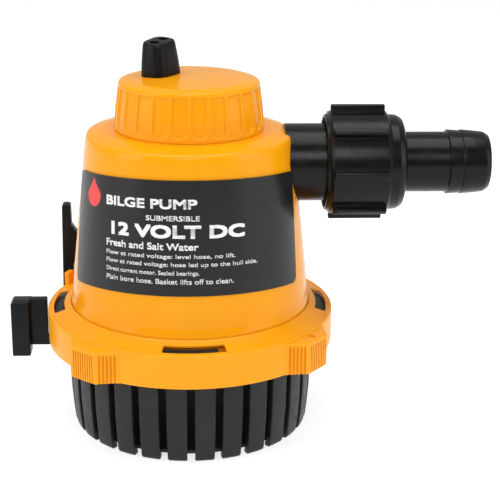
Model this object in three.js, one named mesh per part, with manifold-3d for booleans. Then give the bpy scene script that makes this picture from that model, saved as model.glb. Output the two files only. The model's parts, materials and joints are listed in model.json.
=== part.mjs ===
// Submersible bilge pump: strainer base, bayonet lock ring, pump body with a plug-in motor
// cartridge, and a threaded discharge port with a union nut and a barbed hose tail.
//
// Millimetres, +Z up. The pump axis is Z and z = 0 is the surface that the base stands on.
// The discharge points along +X. Angles are in degrees about Z, 0 at the front (-Y), and
// positive towards +X.

import * as THREE from 'three';
import { mergeVertices } from 'three/addons/utils/BufferGeometryUtils.js';
import Module from 'manifold-3d';

const wasm = await Module();
wasm.setup();

// ---- driving dimensions -------------------------------------------------------------------

const GAP = 0.3;                    // clearance between pieces that sit against each other
const FACETS = 42;                  // facets round the large turned pieces
const FINE_FACETS = 28;             // facets round the middle-sized ones
const SMALL_FACETS = 16;            // facets round the small ones
const OVERCUT = 1;                  // how far a cutting tool runs past the face it opens

// strainer base
const BAR_COUNT = 28;
const SLOT_WIDTH = 2.4;
const SLOT_TOP = 27.2;
const FLOOR_BOTTOM = 1.6;
const FLOOR_TOP = 3.6;
const FLOOR_RADIUS = 36.8;
const RIM_OUTER = 40.2;
const RIM_INNER = 38.5;
const RIM_TOP = 36.7;
const SCREW_BOSS_OFFSET = 24;

// bayonet between the base and the lock ring
const BAYONET_ANGLES = [0, 90, 180, 270];
const BAYONET_OUTER = 44.7;
const LUG_HALF_ANGLE = 11.5;
const LUG_BOTTOM = 32.2;
const LUG_STEP = 36.4;              // top of its inner part, under the body's flange
const LUG_OUTER_TOP = 38.2;
const LUG_INNER_TOP = 39.1;
const LUG_STEP_RADIUS = 41.3;
const LEDGE_LEAD = 22;              // how far each ring ledge stands from its lug when open
const LEDGE_HALF_ANGLE = 8;
const LEDGE_BOTTOM = 28.8;
const LEDGE_TOP = 31.6;

// lock ring
const RING_OUTER = 46.6;
const RING_WALL_INNER = 45.1;
const RING_BORE = 39.25;
const RING_BOTTOM = 28.3;
const RING_EDGE_TOP = 39.0;
const RING_BORE_TOP = 41.0;
const RING_PLATE = 0.8;
const WINDOW_HALF_ANGLE = 12.8;
const WINDOW_INNER = 41.3;
const WINDOW_OUTER = 44.6;
const GRIP_ANGLES = [51, 139, 320];
const GRIP_RADIUS = 51.2;
const GRIP_FACE_HALF_ANGLE = 5.3;
const GRIP_ROOT_HALF_ANGLE = 14;
const GRIP_TOP = 38.6;
const PEG_ANGLE = -115;
const PEG_TOP = 43.5;

// release lever
const LEVER_OUTER_X = -43.7;
const LEVER_FOOT_X = -44.4;
const LEVER_INNER_X = -40.7;
const LEVER_STOP_X = -38.9;         // inner face of its thick part, just outside the ring
const LEVER_NEAR = 26.4;
const LEVER_FAR = 30.8;
const LEVER_ROOT = 24.6;
const LEVER_TOP = 65;

// switch bracket
const BRACKET_OUTER_X = -58.8;
const RAIL_INNER_X = -52.8;
const RAIL_DEPTH = 7;
const RAIL_BOTTOM = 21.7;
const RAIL_TOP = 40.5;
const ARM_BOTTOM = 24.5;
const ARM_THICKNESS = 3.4;
const ARM_Y = 1.2;

// pump body
const SKIRT_OUTER = 38.0;
const SKIRT_BOTTOM = 30.0;
const BODY_WALL = 2.1;
const SHOULDER_TOP = 98.4;
const NECK_OUTER = 20.8;
const NECK_BORE = 18.9;
const NECK_TOP = 108;

// label
const LABEL_OFFSET = 0.22;
const LABEL_THICKNESS = 0.3;
const LABEL_BOTTOM = 54.9;
const LABEL_TOP = 90;
const LABEL_RIGHT = 62;
const LABEL_LEFT = -72;

// motor cap
const CAP_BOTTOM = 98.8;
const CAP_TOP = 114.8;
const CAP_CAVITY_RADIUS = 21.2;
const CAP_CAVITY_TOP = 112;
const FLUTE_COUNT = 24;
const FLUTE_RADIUS = 2.6;
const FLUTE_CENTRE = 25.1;
const FLUTE_TOP = 110.6;

// cable grommet, on the left of the cap
const GROMMET_X = -8.8;
const GROMMET_Y = 2.8;
const GROMMET_FOOT = CAP_TOP + GAP;
const GROMMET_TOP = 125.8;
const GROMMET_LENGTH = 13.1;
const GROMMET_WIDTH = 9.6;
const GROMMET_CORNER = 4.1;
const GROMMET_TAPER = 0.8;         // top outline as a share of the bottom one
const GROMMET_TURN = 32;            // how far the long side is turned from the Y axis
const GROMMET_STEM_RADIUS = 4.6;
const GROMMET_STEM_LENGTH = 5.7;
const WIRE_HOLE_RADIUS = 1.5;
const WIRE_HOLE_OFFSET = 2.5;

// discharge line along +X
const PORT_Z = 86.8;
const PORT_RADIUS = 12.4;
const PORT_THREAD_RADIUS = 13.0;
const THREAD_PITCH = 2.5;
const PORT_BORE = 8.2;
const PORT_START = 27.5;
const PORT_END = 56;
const NUT_START = 43;
const NUT_END = 68.3;
const NUT_RADIUS = 16.5;
const NUT_BORE = 13.4;
const NUT_SHOULDER = 61;
const NUT_RIB_COUNT = 8;
const NUT_RIB_RADIUS = 18.8;
const NUT_RIB_WIDTH = 2.4;
const TAIL_FLANGE_RADIUS = 12.4;
const TAIL_SHANK_RADIUS = 9.65;
const TAIL_BARB_RADIUS = 10.35;
const TAIL_BORE = 7.5;
const TAIL_END = 95.7;

// motor cartridge
const CAN_OUTER = 17.5;
const CAN_INNER = 16.3;
const CAN_BOTTOM = 42;
const CAN_TOP = 98;
const END_PLATE_TOP = 100.6;
const SHAFT_RADIUS = 1.5;
const BEARING_BORE = 1.58;
const BEARING_RADIUS = 4;
const BEARING_LENGTH = 3;
const BRUSH_LENGTH = 6.1;
const BRUSH_WIDTH = 3;
const BRUSH_HEIGHT = 6.2;
const BRUSH_CENTRE_X = 7.35;
const BRUSH_CENTRE_Z = 91.5;
const ARMATURE_RADIUS = 12.4;
const ARMATURE_POLES = 5;

// impeller and its casing
const IMPELLER_RADIUS = 15.5;
const IMPELLER_BLADES = 6;
const INLET_EYE = 8;
const CASING_INNER = 18.4;
const CASING_OUTER = 20.2;

// ---- finishes -----------------------------------------------------------------------------

const YELLOW_PLASTIC = { color: 0xf7a41e, roughness: 0.35, metalness: 0 };
const BLACK_PLASTIC = { color: 0x242426, roughness: 0.6, metalness: 0 };
const GLOSS_BLACK = { color: 0x1f1f20, roughness: 0.35, metalness: 0 };
const LABEL_FILM = { color: 0x3a3b3a, roughness: 0.45, metalness: 0 };
const BLACK_RUBBER = { color: 0x1b1b1c, roughness: 0.8, metalness: 0 };
const WHITE_PLASTIC = { color: 0xd8d6cf, roughness: 0.5, metalness: 0 };
const ZINC_STEEL = { color: 0xb4b6b8, roughness: 0.35, metalness: 1 };
const SHAFT_STEEL = { color: 0xc9cbcd, roughness: 0.25, metalness: 1 };
const FERRITE = { color: 0x45464a, roughness: 0.7, metalness: 0.2 };
const SILICON_STEEL = { color: 0x7b7f85, roughness: 0.45, metalness: 0.9 };
const COPPER = { color: 0xb8673a, roughness: 0.4, metalness: 1 };
const CARBON = { color: 0x2d2d2f, roughness: 0.75, metalness: 0.1 };
const BRONZE = { color: 0xa8803f, roughness: 0.45, metalness: 0.9 };

// ---- solids -------------------------------------------------------------------------------

const radians = THREE.MathUtils.degToRad;

// Plan angle of a direction given in this file's degrees from the front.
function planAngle(degrees) {
  return radians(degrees - 90);
}

// Closed manifold solid of a three.js geometry, whichever way its faces point.
function solidOf(geometry) {
  geometry.deleteAttribute('normal');
  geometry.deleteAttribute('uv');
  const merged = mergeVertices(geometry, 1e-4);
  const place = merged.getAttribute('position');
  const kept = [];
  for (let i = 0; i < merged.index.count; i += 3) {
    const [a, b, c] = [0, 1, 2].map((k) => merged.index.getX(i + k));
    if (a !== b && b !== c && c !== a) kept.push([a, b, c]);
  }
  const corner = (i) => new THREE.Vector3().fromBufferAttribute(place, i);
  const volume = kept.reduce((sum, [a, b, c]) => sum + corner(a).dot(corner(b).cross(corner(c))), 0);
  const faces = volume < 0 ? kept.map(([a, b, c]) => [a, c, b]) : kept;
  return new wasm.Manifold(new wasm.Mesh({
    numProp: 3,
    vertProperties: new Float32Array(place.array),
    triVerts: new Uint32Array(faces.flat()),
  }));
}

// Solid turned about Z from [radius, z] points that go once round the outline.
function turned(outline, facets = FACETS) {
  const points = outline.map(([radius, z]) => new THREE.Vector2(radius, z));
  points.push(points[0].clone());
  return solidOf(new THREE.LatheGeometry(points, facets).rotateX(Math.PI / 2));
}

function ringOf(inner, outer, bottom, top, facets = FINE_FACETS) {
  return turned([[inner, bottom], [outer, bottom], [outer, top], [inner, top]], facets);
}

function discOf(radius, bottom, top, facets = FINE_FACETS) {
  return ringOf(0, radius, bottom, top, facets);
}

function rodAt(x, y, radius, bottom, top, facets = SMALL_FACETS) {
  return discOf(radius, bottom, top, facets).translate([x, y, 0]);
}

function boxOf(x0, x1, y0, y1, z0, z1) {
  const block = new THREE.BoxGeometry(x1 - x0, y1 - y0, z1 - z0);
  return solidOf(block.translate((x0 + x1) / 2, (y0 + y1) / 2, (z0 + z1) / 2));
}

function extruded(shape, bottom, top, curveSegments = 6) {
  const options = { depth: top - bottom, bevelEnabled: false, curveSegments };
  return solidOf(new THREE.ExtrudeGeometry(shape, options).translate(0, 0, bottom));
}

function polygon(points) {
  return new THREE.Shape(points.map(([x, y]) => new THREE.Vector2(x, y)));
}

// Block between two radii, centred on a direction, as wide as twice the half angle.
function sector(inner, outer, degrees, halfAngle, bottom, top) {
  const from = planAngle(degrees - halfAngle);
  const to = planAngle(degrees + halfAngle);
  const shape = new THREE.Shape();
  shape.absarc(0, 0, outer, from, to, false);
  shape.absarc(0, 0, inner, to, from, true);
  return extruded(shape, bottom, top);
}

function polar(radius, degrees) {
  const angle = planAngle(degrees);
  return [radius * Math.cos(angle), radius * Math.sin(angle)];
}

function joined(solids) {
  return solids.reduce((sum, next) => sum.add(next));
}

// Copies of a solid, evenly spaced about Z, joined.
function repeated(solid, count, firstDegrees = 0) {
  const copies = [];
  for (let i = 0; i < count; i += 1) {
    copies.push(solid.rotate([0, 0, firstDegrees + (i * 360) / count]));
  }
  return joined(copies);
}

// ---- strainer base ------------------------------------------------------------------------

function strainerBase() {
  const basket = turned([
    [37.8, 0], [39.2, 1.4], [39.5, 5.5], [40.0, SLOT_TOP], [RIM_OUTER, RIM_TOP],
    [RIM_INNER, RIM_TOP], [RIM_INNER, 28.4], [37, FLOOR_TOP], [35.6, 0],
  ], BAR_COUNT);
  const slot = boxOf(-SLOT_WIDTH / 2, SLOT_WIDTH / 2, -RING_OUTER, -30, -OVERCUT, SLOT_TOP);
  const bars = basket.subtract(repeated(slot, BAR_COUNT));
  const floor = discOf(FLOOR_RADIUS, FLOOR_BOTTOM, FLOOR_TOP, FACETS);
  const seat = discOf(7, 0, FLOOR_BOTTOM + OVERCUT);
  const lugBand = turned([
    [RIM_OUTER - OVERCUT, LUG_BOTTOM], [BAYONET_OUTER, LUG_BOTTOM], [BAYONET_OUTER, LUG_OUTER_TOP],
    [LUG_STEP_RADIUS, LUG_INNER_TOP], [LUG_STEP_RADIUS, LUG_STEP], [RIM_OUTER - OVERCUT, LUG_STEP],
  ]);
  const lugs = BAYONET_ANGLES.map((angle) => (
    lugBand.intersect(sector(30, 50, angle, LUG_HALF_ANGLE, LUG_BOTTOM - 1, LUG_INNER_TOP + 1))
  ));
  const bosses = [-1, 1].map((side) => rodAt(side * SCREW_BOSS_OFFSET, 0, 4.6, 0, 8));
  const holes = [-1, 1].map((side) => rodAt(side * SCREW_BOSS_OFFSET, 0, 2.3, -OVERCUT, 9));
  return joined([bars, floor, seat, ...lugs, ...bosses]).subtract(joined(holes));
}

// Block that a float switch clips to, on an arm that reaches out from under the lock ring.
function switchBracket() {
  const outline = polygon([
    [BRACKET_OUTER_X, RAIL_BOTTOM], [RAIL_INNER_X, RAIL_BOTTOM], [RAIL_INNER_X, RAIL_TOP],
    [BRACKET_OUTER_X + 1.6, RAIL_TOP], [BRACKET_OUTER_X, RAIL_TOP - 1.6],
  ]);
  const block = extruded(outline, -RAIL_DEPTH / 2, RAIL_DEPTH / 2).rotate([90, 0, 0]);
  const near = ARM_Y - ARM_THICKNESS / 2;
  const far = ARM_Y + ARM_THICKNESS / 2;
  const arm = boxOf(RAIL_INNER_X - 0.1, -RING_OUTER - 0.6, near, far, ARM_BOTTOM, RAIL_TOP);
  const foot = boxOf(-RING_OUTER - 0.7, -RIM_OUTER - GAP, near, far, ARM_BOTTOM, RING_BOTTOM - 0.5);
  return joined([block, arm, foot]);
}

// Springy upright that holds the lock ring from turning, drawn flat in its own XY plane.
function releaseLever() {
  const side = polygon([
    [LEVER_FOOT_X, LEVER_ROOT], [LEVER_INNER_X, LEVER_ROOT], [LEVER_INNER_X, 43],
    [LEVER_STOP_X, 45.5], [LEVER_STOP_X, 55], [LEVER_INNER_X, 57.2],
    [LEVER_INNER_X, LEVER_TOP - 0.8], [LEVER_INNER_X - 0.8, LEVER_TOP],
    [LEVER_OUTER_X + 0.8, LEVER_TOP], [LEVER_OUTER_X, LEVER_TOP - 0.8],
  ]);
  return extruded(side, -LEVER_FAR, -LEVER_NEAR);
}

// Socket on the base that the lever's root stands in, tied to the basket by a short shelf.
function leverSocket() {
  const shelf = extruded(polygon([
    [LEVER_FOOT_X - 0.6, LEVER_NEAR - 1.2], [-34.4, 20.4], [-31.4, 24.8],
    [-39.6, LEVER_FAR + 1.2], [LEVER_FOOT_X - 0.6, LEVER_FAR + 1.2],
  ]), LEVER_ROOT - 3.2, LEVER_ROOT - GAP);
  const outside = ringOf(RIM_OUTER + GAP, 60, LEVER_ROOT - 5, LEVER_ROOT + 2, FACETS);
  return shelf.intersect(outside);
}

// ---- lock ring ----------------------------------------------------------------------------

function gripLug(degrees) {
  const root = RING_WALL_INNER + 0.6;
  const outline = polygon([
    polar(root, degrees - GRIP_ROOT_HALF_ANGLE),
    polar(GRIP_RADIUS, degrees - GRIP_FACE_HALF_ANGLE),
    polar(GRIP_RADIUS, degrees + GRIP_FACE_HALF_ANGLE),
    polar(root, degrees + GRIP_ROOT_HALF_ANGLE),
  ]);
  return extruded(outline, RING_BOTTOM, GRIP_TOP);
}

function lockRing() {
  const shell = turned([
    [RING_WALL_INNER, RING_BOTTOM], [RING_OUTER, RING_BOTTOM], [RING_OUTER, RING_EDGE_TOP - 0.5],
    [RING_OUTER - 0.5, RING_EDGE_TOP], [RING_BORE, RING_BORE_TOP],
    [RING_BORE, RING_BORE_TOP - RING_PLATE], [RING_WALL_INNER, RING_EDGE_TOP - RING_PLATE + 0.4],
  ]);
  const windows = BAYONET_ANGLES.map((angle) => (
    sector(WINDOW_INNER, WINDOW_OUTER, angle, WINDOW_HALF_ANGLE, RING_EDGE_TOP - 4, RING_BORE_TOP)
  ));
  const ledges = BAYONET_ANGLES.map((angle) => sector(
    41.2, RING_WALL_INNER + 0.5, angle - LEDGE_LEAD, LEDGE_HALF_ANGLE, LEDGE_BOTTOM, LEDGE_TOP,
  ));
  const grips = GRIP_ANGLES.map(gripLug);
  const peg = sector(44.7, RING_OUTER - 0.1, PEG_ANGLE, 2.2, RING_EDGE_TOP - 1, PEG_TOP);
  const inside = ringOf(0, RING_WALL_INNER, RING_BOTTOM - 1, RING_EDGE_TOP - RING_PLATE, FACETS);
  const outerPieces = joined(grips).subtract(inside);
  return joined([shell.subtract(joined(windows)), ...ledges, outerPieces, peg]);
}

// ---- pump body and label ------------------------------------------------------------------

// Outside of the body from the crease at the lock ring up to the shoulder: [radius, z].
const BODY_FLARE = [[38.9, 41.3], [38.5, 43.5], [38.1, 48]];
const BODY_CONE_FOOT = [37.5, 54];
const BODY_CONE_HEAD = [33.0, 95];
const BODY_SHOULDER = [[32.4, 96.3], [31.1, 97.4], [29, 97.9], [26.5, SHOULDER_TOP - 0.2]];

function coneRadius(z) {
  const t = (z - BODY_CONE_FOOT[1]) / (BODY_CONE_HEAD[1] - BODY_CONE_FOOT[1]);
  return THREE.MathUtils.lerp(BODY_CONE_FOOT[0], BODY_CONE_HEAD[0], t);
}

function pumpBody() {
  const shell = turned([
    [SKIRT_OUTER, SKIRT_BOTTOM], [SKIRT_OUTER, RIM_TOP + 0.4], [40.7, RIM_TOP + 0.4], [40.7, 38.2],
    [38.9, 38.6], ...BODY_FLARE, BODY_CONE_FOOT, BODY_CONE_HEAD, ...BODY_SHOULDER,
    [24, SHOULDER_TOP], [NECK_OUTER, SHOULDER_TOP], [NECK_OUTER, NECK_TOP], [NECK_BORE, NECK_TOP],
    [NECK_BORE, 96.4], [29, 96.2], [BODY_CONE_HEAD[0] - BODY_WALL, 93.2],
    [BODY_CONE_FOOT[0] - BODY_WALL, BODY_CONE_FOOT[1]], [SKIRT_OUTER - 1.6, SKIRT_BOTTOM],
  ]);
  const portHole = discOf(PORT_RADIUS + GAP, PORT_START, NUT_START).rotate([0, 90, 0]);
  return shell.subtract(portHole.translate([0, 0, PORT_Z]));
}

function labelSkin() {
  const inner = (z) => coneRadius(z) + LABEL_OFFSET;
  const band = turned([
    [inner(LABEL_BOTTOM), LABEL_BOTTOM], [inner(LABEL_BOTTOM) + LABEL_THICKNESS, LABEL_BOTTOM],
    [inner(LABEL_TOP) + LABEL_THICKNESS, LABEL_TOP], [inner(LABEL_TOP), LABEL_TOP],
  ]);
  const middle = (LABEL_RIGHT + LABEL_LEFT) / 2;
  const half = (LABEL_RIGHT - LABEL_LEFT) / 2;
  return band.intersect(sector(20, 60, middle, half, LABEL_BOTTOM - 1, LABEL_TOP + 1));
}

// ---- pump casing under the motor ----------------------------------------------------------

// Disc with the suction eye, held in the body's skirt.
function inletPlate() {
  return ringOf(INLET_EYE, SKIRT_OUTER - 1.6 - GAP, SKIRT_BOTTOM + 0.2, SKIRT_BOTTOM + 1.8, FACETS);
}

// Casing wall round the impeller with three openings that let the water up round the motor.
function impellerCasing() {
  const wall = ringOf(CASING_INNER, CASING_OUTER, SKIRT_BOTTOM + 2.1, 39.5);
  const flange = ringOf(CASING_INNER, 33.5, 39.2, 40.8);
  const passages = [30, 150, 270].map((angle) => (
    sector(CASING_OUTER + 2, 31, angle, 38, 38, 42)
  ));
  const exits = [75, 195, 315].map((angle) => sector(15, 25, angle, 20, 33.6, 38));
  return wall.add(flange).subtract(joined([...passages, ...exits]));
}

// ---- discharge line, made about its own Z axis ---------------------------------------------

function dischargePort() {
  const threads = [];
  for (let z = NUT_START + 2; z < PORT_END - 2; z += THREAD_PITCH) {
    threads.push([PORT_RADIUS, z], [PORT_THREAD_RADIUS, z + 0.6], [PORT_THREAD_RADIUS, z + 1.2]);
    threads.push([PORT_RADIUS, z + 1.8]);
  }
  return turned([
    [PORT_BORE, PORT_START], [PORT_RADIUS, PORT_START], ...threads, [PORT_RADIUS, PORT_END],
    [PORT_BORE, PORT_END],
  ], FINE_FACETS);
}

function tailSeal() {
  return ringOf(TAIL_BORE + 0.8, 12.2, PORT_END + GAP, PORT_END + 1.8);
}

function hoseTail() {
  const flange = PORT_END + 1.8 + GAP;
  return turned([
    [TAIL_BORE, flange], [TAIL_FLANGE_RADIUS, flange], [TAIL_FLANGE_RADIUS, flange + 2.5],
    [TAIL_SHANK_RADIUS, flange + 2.5], [TAIL_SHANK_RADIUS, 82.4], [TAIL_BARB_RADIUS, 82.6],
    [TAIL_BARB_RADIUS - 0.3, 86.7], [TAIL_BARB_RADIUS, 86.9], [TAIL_BARB_RADIUS - 0.3, 91],
    [TAIL_SHANK_RADIUS, 93.8], [8.9, TAIL_END], [TAIL_BORE, TAIL_END],
  ], FINE_FACETS);
}

function unionNut() {
  const body = turned([
    [NUT_BORE, NUT_START], [15.2, NUT_START], [NUT_RADIUS, NUT_START + 1.6], [NUT_RADIUS, 62.6],
    [15.3, 63.4], [15.1, 66.2], [14.2, 67.5], [12.8, NUT_END], [TAIL_SHANK_RADIUS + GAP, NUT_END],
    [TAIL_SHANK_RADIUS + GAP, NUT_SHOULDER], [NUT_BORE, NUT_SHOULDER],
  ], FINE_FACETS);
  const rib = boxOf(15, NUT_RIB_RADIUS, -NUT_RIB_WIDTH / 2, NUT_RIB_WIDTH / 2, 44.8, 62);
  return body.add(repeated(rib, NUT_RIB_COUNT));
}

// ---- motor cap ----------------------------------------------------------------------------

function motorCap() {
  const outside = turned([
    [0, CAP_BOTTOM], [23.8, CAP_BOTTOM], [23.2, 105], [22.5, 110.4], [22, 112.9],
    [19, 114.3], [10, CAP_TOP], [0, CAP_TOP],
  ], FLUTE_COUNT);
  const flute = rodAt(0, -FLUTE_CENTRE, FLUTE_RADIUS, CAP_BOTTOM - OVERCUT, FLUTE_TOP, 10);
  const flutes = repeated(flute, FLUTE_COUNT, 180 / FLUTE_COUNT);
  const cavity = discOf(CAP_CAVITY_RADIUS, CAP_BOTTOM - OVERCUT, CAP_CAVITY_TOP, FLUTE_COUNT * 2);
  const boss = ringOf(14.6, 17, END_PLATE_TOP + GAP, CAP_CAVITY_TOP + 0.2);
  const hole = rodAt(GROMMET_X, GROMMET_Y, GROMMET_STEM_RADIUS + GAP, CAP_BOTTOM - 2, CAP_TOP + 2);
  return outside.subtract(flutes).subtract(cavity).add(boss).subtract(hole);
}

function capSeal() {
  return ringOf(NECK_BORE + 0.1, NECK_OUTER - 0.1, NECK_TOP + GAP, NECK_TOP + 1.9);
}

// Tapered rubber block with two wire holes and a stem that plugs into the cap. It stands on
// z = 0 of its own, with its long side along Y.
function cableGrommet() {
  const [x, y, r] = [GROMMET_WIDTH / 2, GROMMET_LENGTH / 2, GROMMET_CORNER];
  const plan = new THREE.Shape();
  plan.absarc(x - r, y - r, r, 0, Math.PI / 2, false);
  plan.absarc(r - x, y - r, r, Math.PI / 2, Math.PI, false);
  plan.absarc(r - x, r - y, r, Math.PI, 1.5 * Math.PI, false);
  plan.absarc(x - r, r - y, r, 1.5 * Math.PI, 2 * Math.PI, false);
  const height = GROMMET_TOP - GROMMET_FOOT;
  const options = { depth: height, bevelEnabled: false, curveSegments: 3 };
  const block = new THREE.ExtrudeGeometry(plan, options);
  const corners = block.getAttribute('position');
  for (let i = 0; i < corners.count; i += 1) {
    const scale = THREE.MathUtils.lerp(1, GROMMET_TAPER, corners.getZ(i) / height);
    corners.setXY(i, corners.getX(i) * scale, corners.getY(i) * scale);
  }
  const stem = discOf(GROMMET_STEM_RADIUS, -GROMMET_STEM_LENGTH, OVERCUT, SMALL_FACETS);
  const holes = [-1, 1].map((end) => rodAt(
    0, end * WIRE_HOLE_OFFSET, WIRE_HOLE_RADIUS, -GROMMET_STEM_LENGTH - OVERCUT, height + OVERCUT, 12,
  ));
  return solidOf(block).add(stem).subtract(joined(holes));
}

// ---- motor --------------------------------------------------------------------------------

function motorCan() {
  return ringOf(CAN_INNER, CAN_OUTER, CAN_BOTTOM, CAN_TOP);
}

function lowerEndPlate() {
  const plate = ringOf(BEARING_RADIUS + GAP, CAN_OUTER, CAN_BOTTOM - 3.6, CAN_BOTTOM - GAP);
  const lip = ringOf(9, 10.5, CAN_BOTTOM - 4, CAN_BOTTOM + 4);
  return plate.add(lip);
}

function upperEndPlate() {
  return ringOf(BEARING_RADIUS + GAP, CAN_OUTER, CAN_TOP + GAP, END_PLATE_TOP);
}

// Curved magnet for the front of the can.
function magnet() {
  return sector(13.2, CAN_INNER - GAP, 0, 62, 52, 84);
}

function brushPlate() {
  const plate = ringOf(5.4, CAN_INNER - GAP, 92.6, 94);
  const slots = boxOf(-11, 11, -1.9, 1.9, 92, 95);
  return plate.subtract(slots);
}

// Carbon block, centred on its own origin.
function brush() {
  const [x, y, z] = [BRUSH_LENGTH / 2, BRUSH_WIDTH / 2, BRUSH_HEIGHT / 2];
  return boxOf(-x, x, -y, y, -z, z);
}

// Bush that stands on z = 0 of its own.
function bearing() {
  return ringOf(BEARING_BORE, BEARING_RADIUS, 0, BEARING_LENGTH, SMALL_FACETS);
}

function shaftSeal() {
  return ringOf(BEARING_BORE, 7, 37.4, 38.2, SMALL_FACETS);
}

// ---- rotor --------------------------------------------------------------------------------

function motorShaft() {
  return discOf(SHAFT_RADIUS, 33, 101, SMALL_FACETS);
}

function armatureCore() {
  const stack = ringOf(SHAFT_RADIUS + 0.1, ARMATURE_RADIUS, 55, 81);
  const mouth = boxOf(-1.1, 1.1, 6, 14, 54, 82);
  const pocket = rodAt(0, 8, 2.6, 54, 82, 12);
  return stack.subtract(repeated(mouth.add(pocket), ARMATURE_POLES));
}

function endTurns(bottom, top) {
  const middle = (bottom + top) / 2;
  return turned([
    [3.2, bottom + 0.6], [5, bottom], [9.4, bottom], [11, middle], [9.4, top], [5, top],
    [3.2, top - 0.6],
  ], SMALL_FACETS);
}

function commutator() {
  const barrel = ringOf(SHAFT_RADIUS + 0.1, 3.9, 87, 96, SMALL_FACETS);
  const cut = boxOf(-0.25, 0.25, 3.2, 5, 88, 97);
  return barrel.subtract(repeated(cut, ARMATURE_POLES));
}

// Open impeller: hub, back plate and backward-swept blades.
function impeller() {
  const hub = ringOf(SHAFT_RADIUS + 0.1, 4, 33, 37.1, SMALL_FACETS);
  const plate = ringOf(3.5, IMPELLER_RADIUS, 36, 37.1);
  const blade = new THREE.Shape();
  blade.absarc(0, -9.6, 6.4, radians(-8), radians(150), false);
  blade.absarc(0, -9.6, 5.2, radians(150), radians(-8), true);
  const blades = repeated(extruded(blade, 32.6, 36.2, 5), IMPELLER_BLADES);
  const outer = ringOf(3.4, IMPELLER_RADIUS, 32, 38);
  return joined([hub, plate, blades.intersect(outer)]);
}

// ---- assembly -----------------------------------------------------------------------------

function assembly(parent) {
  const group = new THREE.Group();
  parent.add(group);
  return group;
}

// Adds a solid to a group as a named mesh with a material of its own, and returns the mesh.
function piece(group, name, solid, finish) {
  const { vertProperties, triVerts } = solid.getMesh();
  const geometry = new THREE.BufferGeometry();
  geometry.setAttribute('position', new THREE.BufferAttribute(vertProperties, 3));
  geometry.setIndex(new THREE.BufferAttribute(triVerts, 1));
  const mesh = new THREE.Mesh(geometry, new THREE.MeshStandardMaterial(finish));
  mesh.name = name;
  group.add(mesh);
  return mesh;
}

const pump = new THREE.Group();
pump.name = 'bilge_pump';

const base = assembly(pump);
piece(base, 'strainer_base', strainerBase(), BLACK_PLASTIC);
piece(base, 'switch_bracket', switchBracket(), BLACK_PLASTIC);
piece(base, 'lever_socket', leverSocket(), BLACK_PLASTIC);
const lever = piece(base, 'release_lever', releaseLever(), BLACK_PLASTIC);
lever.rotation.x = Math.PI / 2;
piece(base, 'lock_ring', lockRing(), YELLOW_PLASTIC);

const head = assembly(pump);
piece(head, 'pump_body', pumpBody(), YELLOW_PLASTIC);
piece(head, 'label', labelSkin(), LABEL_FILM);
piece(head, 'inlet_plate', inletPlate(), BLACK_PLASTIC);
piece(head, 'impeller_casing', impellerCasing(), BLACK_PLASTIC);

const dischargeLine = assembly(head);
dischargeLine.position.z = PORT_Z;
dischargeLine.rotation.y = Math.PI / 2;
piece(dischargeLine, 'discharge_port', dischargePort(), GLOSS_BLACK);
piece(dischargeLine, 'tail_seal', tailSeal(), BLACK_RUBBER);
piece(dischargeLine, 'hose_tail', hoseTail(), GLOSS_BLACK);
piece(dischargeLine, 'union_nut', unionNut(), GLOSS_BLACK);

const cartridge = assembly(pump);
piece(cartridge, 'cap_seal', capSeal(), BLACK_RUBBER);
piece(cartridge, 'motor_cap', motorCap(), YELLOW_PLASTIC);
const grommet = piece(cartridge, 'cable_grommet', cableGrommet(), BLACK_RUBBER);
grommet.position.set(GROMMET_X, GROMMET_Y, GROMMET_FOOT);
grommet.rotation.z = -radians(GROMMET_TURN);

const motor = assembly(cartridge);
piece(motor, 'motor_can', motorCan(), ZINC_STEEL);
piece(motor, 'lower_end_plate', lowerEndPlate(), WHITE_PLASTIC);
piece(motor, 'upper_end_plate', upperEndPlate(), WHITE_PLASTIC);
piece(motor, 'magnet_front', magnet(), FERRITE);
piece(motor, 'magnet_back', magnet(), FERRITE).rotation.z = Math.PI;
piece(motor, 'brush_plate', brushPlate(), WHITE_PLASTIC);
for (const [name, side] of [['brush_left', -1], ['brush_right', 1]]) {
  piece(motor, name, brush(), CARBON).position.set(side * BRUSH_CENTRE_X, 0, BRUSH_CENTRE_Z);
}
piece(motor, 'lower_bearing', bearing(), BRONZE).position.z = CAN_BOTTOM - 3.4;
piece(motor, 'upper_bearing', bearing(), BRONZE).position.z = CAN_TOP - 0.6;
piece(motor, 'shaft_seal', shaftSeal(), BLACK_RUBBER);

const rotor = assembly(motor);
piece(rotor, 'motor_shaft', motorShaft(), SHAFT_STEEL);
piece(rotor, 'armature_core', armatureCore(), SILICON_STEEL);
piece(rotor, 'lower_end_turns', endTurns(49.6, 54.7), COPPER);
piece(rotor, 'upper_end_turns', endTurns(81.3, 86.4), COPPER);
piece(rotor, 'commutator', commutator(), COPPER);
piece(rotor, 'impeller', impeller(), WHITE_PLASTIC);

export default pump;
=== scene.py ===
import json
import math
from math import cos, radians, sin

import bmesh
import bpy
from mathutils import Matrix, Vector


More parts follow.
